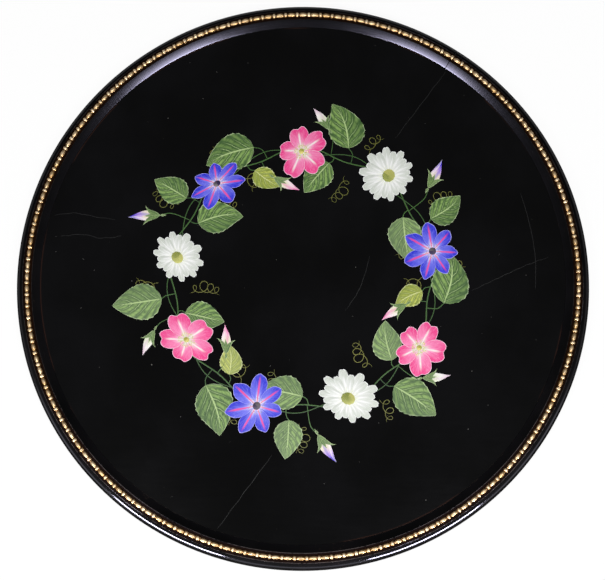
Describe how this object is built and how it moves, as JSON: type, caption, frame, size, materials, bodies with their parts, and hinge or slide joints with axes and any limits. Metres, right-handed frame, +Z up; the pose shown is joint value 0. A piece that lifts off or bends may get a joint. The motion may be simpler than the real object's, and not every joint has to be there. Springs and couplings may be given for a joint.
{
  "type": "painted tray",
  "caption": "Round black-lacquered wooden tray with a painted flower garland, a rounded raised rim and a brass bead-and-reel moulding set in its crest.",
  "frame": {"origin": "centre of the underside, on the plane the tray stands on", "axes": "+Z up out of the painted field, -Y towards the viewer, +X to the viewer's right"},
  "size_m": [0.5999, 0.6, 0.0279],
  "materials": {
    "board_wood": "dark stained softwood, matt",
    "tongue_wood": "bare hardwood",
    "rim_lacquer": "black lacquer on wood, satin gloss, worn at the edges",
    "field_lacquer": "black lacquer over a gesso ground, glossy, hand painted",
    "bead_brass": "old gilt brass, rubbed bright on the high points",
    "pin_brass": "old gilt brass"
  },
  "bodies": {
    "root": {"bead_pins": "pin_brass", "bead_strip_1": "bead_brass", "bead_strip_2": "bead_brass", "bead_strip_3": "bead_brass", "bead_strip_4": "bead_brass", "bead_strip_5": "bead_brass", "bead_strip_6": "bead_brass", "board_tongue_1": "tongue_wood", "board_tongue_2": "tongue_wood", "board_tongue_3": "tongue_wood", "board_tongue_4": "tongue_wood", "board_tongue_5": "tongue_wood", "lacquer_ground": "field_lacquer", "panel_board_1": "board_wood", "panel_board_2": "board_wood", "panel_board_3": "board_wood", "panel_board_4": "board_wood", "panel_board_5": "board_wood", "panel_board_6": "board_wood", "rim_segment_1": "rim_lacquer", "rim_segment_2": "rim_lacquer", "rim_segment_3": "rim_lacquer", "rim_segment_4": "rim_lacquer", "rim_segment_5": "rim_lacquer", "rim_segment_6": "rim_lacquer", "rim_tongue_1": "tongue_wood", "rim_tongue_2": "tongue_wood", "rim_tongue_3": "tongue_wood", "rim_tongue_4": "tongue_wood", "rim_tongue_5": "tongue_wood", "rim_tongue_6": "tongue_wood"}
  },
  "joints": []
}
